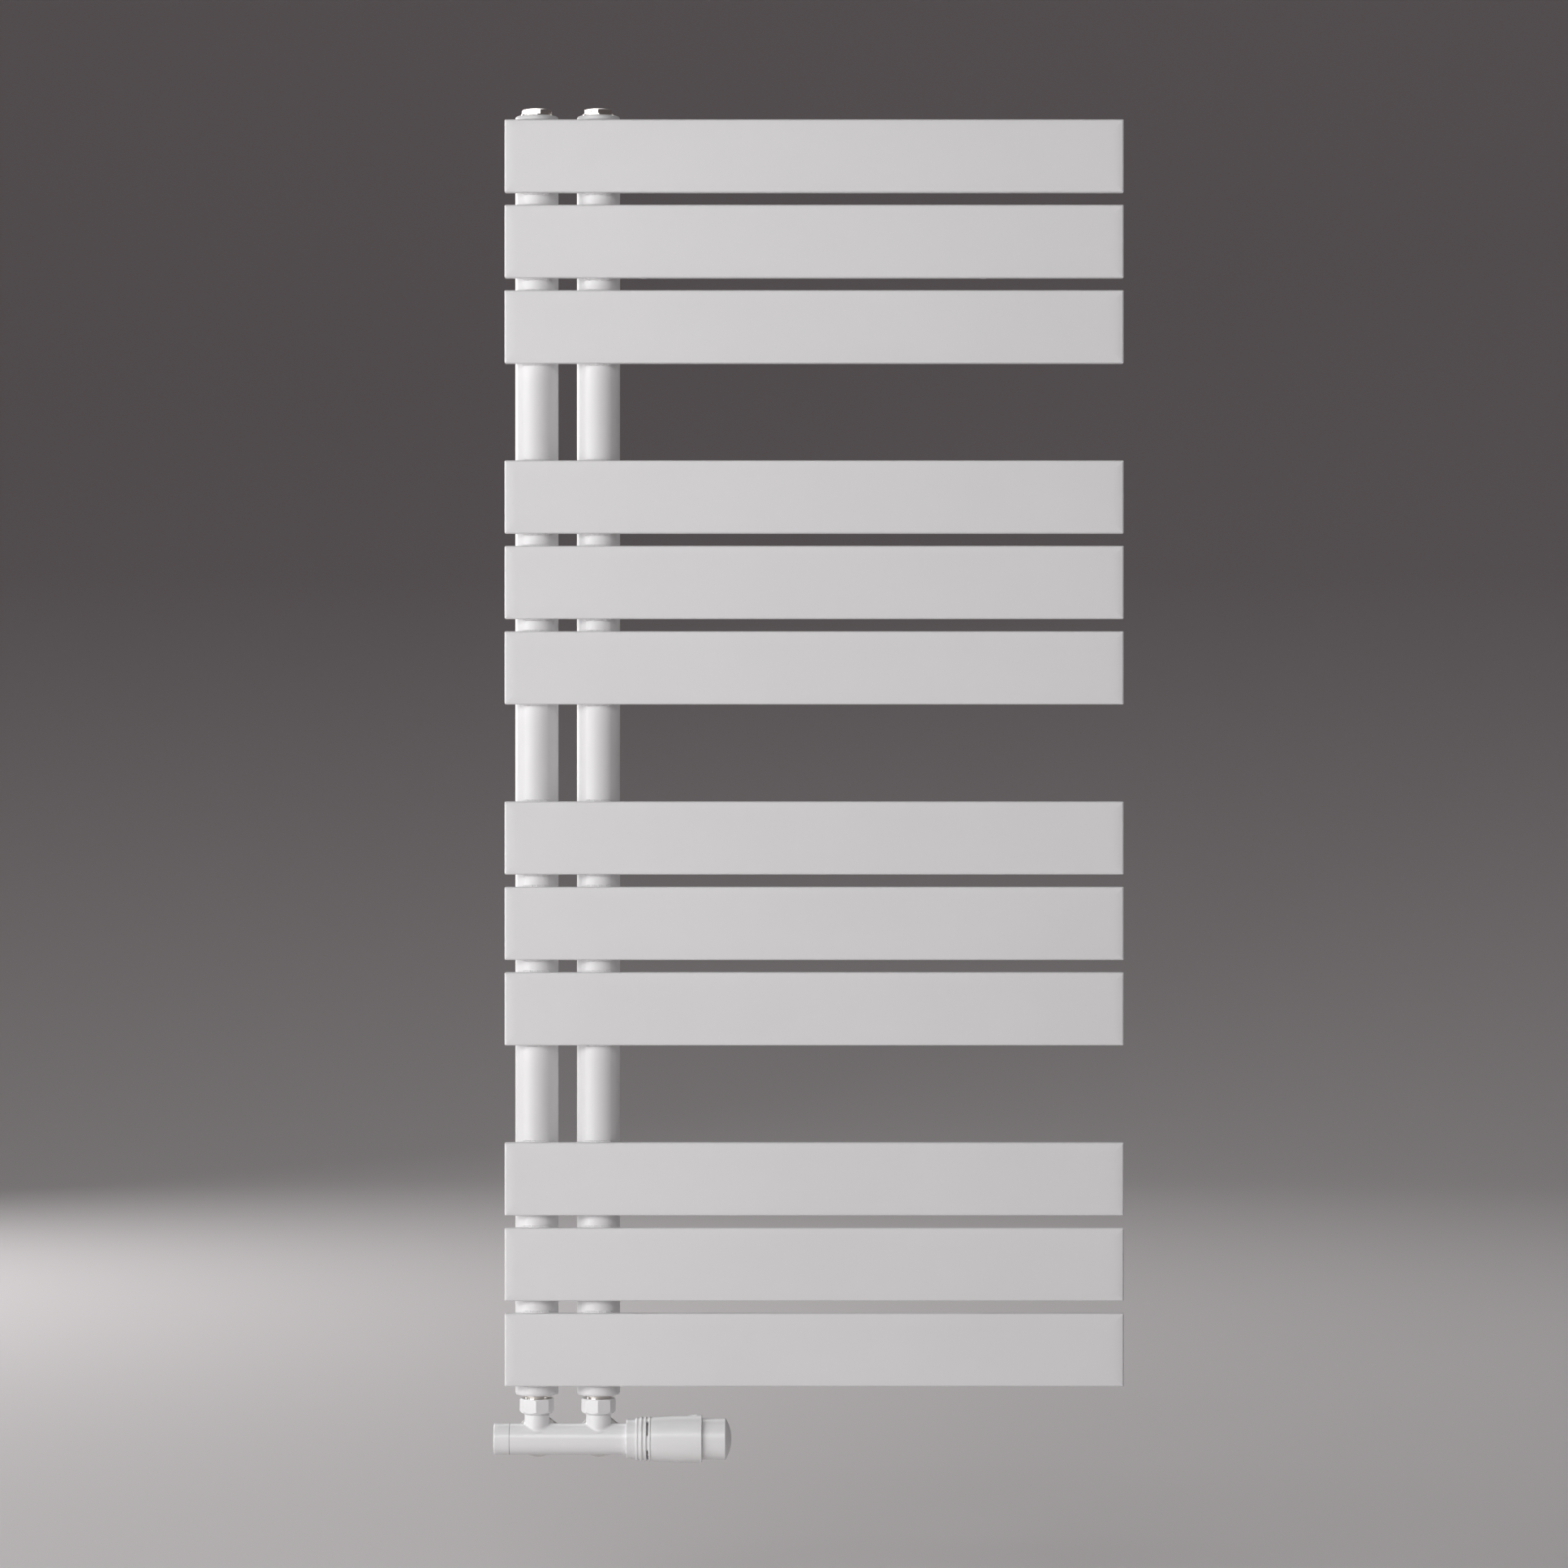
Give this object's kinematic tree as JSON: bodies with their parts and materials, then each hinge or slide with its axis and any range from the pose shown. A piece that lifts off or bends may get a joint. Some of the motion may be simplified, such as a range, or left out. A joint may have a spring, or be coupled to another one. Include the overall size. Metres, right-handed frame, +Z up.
{
  "type": "wall-hung towel radiator with valve",
  "caption": "Wall-hung flat-panel towel radiator: panel groups on paired side collectors, inline thermostatic valve block with radiator head below, lockshield under a cap.",
  "frame": {"origin": "middle of the four wall screws, on the wall's face", "axes": "+X along the panels from the collectors to the free ends, +Y into the wall, +Z up"},
  "size_m": [0.5104, 0.0865, 1.0984],
  "materials": {
    "white_coat": "satin powder coat, very fine texture",
    "valve_white": "gloss white enamel",
    "white_plastic": "moulded, gloss white",
    "nickel": "bright nickel plate",
    "brass": "turned brass",
    "seal_rubber": "black rubber",
    "steel": "bright steel",
    "capsule_metal": "drawn aluminium"
  },
  "bodies": {
    "wall_brackets": {"bracket_sockets": "white_coat", "bracket_rosettes": "white_coat", "bracket_grub_screws": "steel"},
    "radiator": {"panel_01": "white_coat", "panel_02": "white_coat", "panel_03": "white_coat", "panel_04": "white_coat", "panel_05": "white_coat", "panel_06": "white_coat", "panel_07": "white_coat", "panel_08": "white_coat", "panel_09": "white_coat", "panel_10": "white_coat", "panel_11": "white_coat", "panel_12": "white_coat", "panel_end_plates": "white_coat", "panel_baffles": "white_coat", "collector_return": "white_coat", "collector_flow": "white_coat", "collector_top_bosses": "white_coat", "collector_foot_bosses": "white_coat", "bracket_bosses": "white_coat", "bracket_pins": "white_coat", "blank_plug": "nickel", "vent_plug": "nickel", "plug_seals": "seal_rubber", "tail_nipple_return": "nickel", "tail_nipple_flow": "nickel", "union_nut_return": "valve_white", "union_nut_flow": "valve_white", "nipple_seals": "seal_rubber", "union_gaskets": "seal_rubber", "pipe_nut_return": "nickel", "pipe_nut_flow": "nickel", "pipe_olives": "brass", "valve_block": "valve_white", "lockshield_bonnet": "brass", "lockshield_ring": "brass", "thermostat_insert": "brass", "insert_gland": "brass", "gland_ring": "seal_rubber", "valve_spring": "steel", "head_nut": "white_plastic", "head_base": "white_plastic", "head_cage": "white_plastic"},
    "bleed_screw": {"bleed_screw": "steel"},
    "lockshield_cap": {"lockshield_cap": "white_plastic"},
    "lockshield_spindle": {"lockshield_spindle": "brass"},
    "lockshield_plug": {"lockshield_plug": "brass", "lockshield_seal": "seal_rubber"},
    "sensor": {"sensor_capsule": "capsule_metal", "push_pin": "steel", "sensor_cup": "white_plastic", "overtravel_spring": "steel"},
    "handwheel": {"handwheel": "white_plastic"},
    "valve_spindle": {"valve_pin": "steel", "valve_plug": "brass", "valve_seal": "seal_rubber"}
  },
  "joints": [
    {"name": "wall_distance", "type": "slide", "parent": "wall_brackets", "child": "radiator", "axis": [0, 1, 0], "range_m": [-0.006, 0.006]},
    {"name": "sensor_travel", "type": "slide", "parent": "radiator", "child": "sensor", "axis": [1, 0, 0], "range_m": [-0.00187, 0.00187]},
    {"name": "handwheel_turn", "type": "hinge", "parent": "sensor", "child": "handwheel", "pos_m": [-0.075, -0.062, -0.5568], "axis": [1, 0, 0], "range_deg": [-150.5, 150.5]},
    {"name": "valve_travel", "type": "slide", "parent": "radiator", "child": "valve_spindle", "axis": [1, 0, 0], "range_m": [-0.0019, 0.0019], "deforming": ["valve_spring"]},
    {"name": "cap_pull", "type": "slide", "parent": "radiator", "child": "lockshield_cap", "axis": [-1, 0, 0], "range_m": [0, 0.02]},
    {"name": "lockshield_turn", "type": "hinge", "parent": "radiator", "child": "lockshield_spindle", "pos_m": [-0.245, -0.062, -0.5568], "axis": [-1, 0, 0], "range_deg": [-541, 469]},
    {"name": "lockshield_travel", "type": "slide", "parent": "radiator", "child": "lockshield_plug", "axis": [-1, 0, 0], "range_m": [-0.0015, 0.0013]},
    {"name": "bleed_turn", "type": "hinge", "parent": "radiator", "child": "bleed_screw", "pos_m": [-0.175, -0.062, 0.5166], "axis": [0, 0, 1], "range_deg": [0, 360]}
  ],
  "couplings": [
    {"joint": "handwheel_turn", "follows": "sensor_travel", "rad_per_m": 1396.3},
    {"joint": "valve_travel", "follows": "sensor_travel", "ratio": 1},
    {"joint": "lockshield_turn", "follows": "lockshield_travel", "rad_per_m": 6283.2}
  ]
}
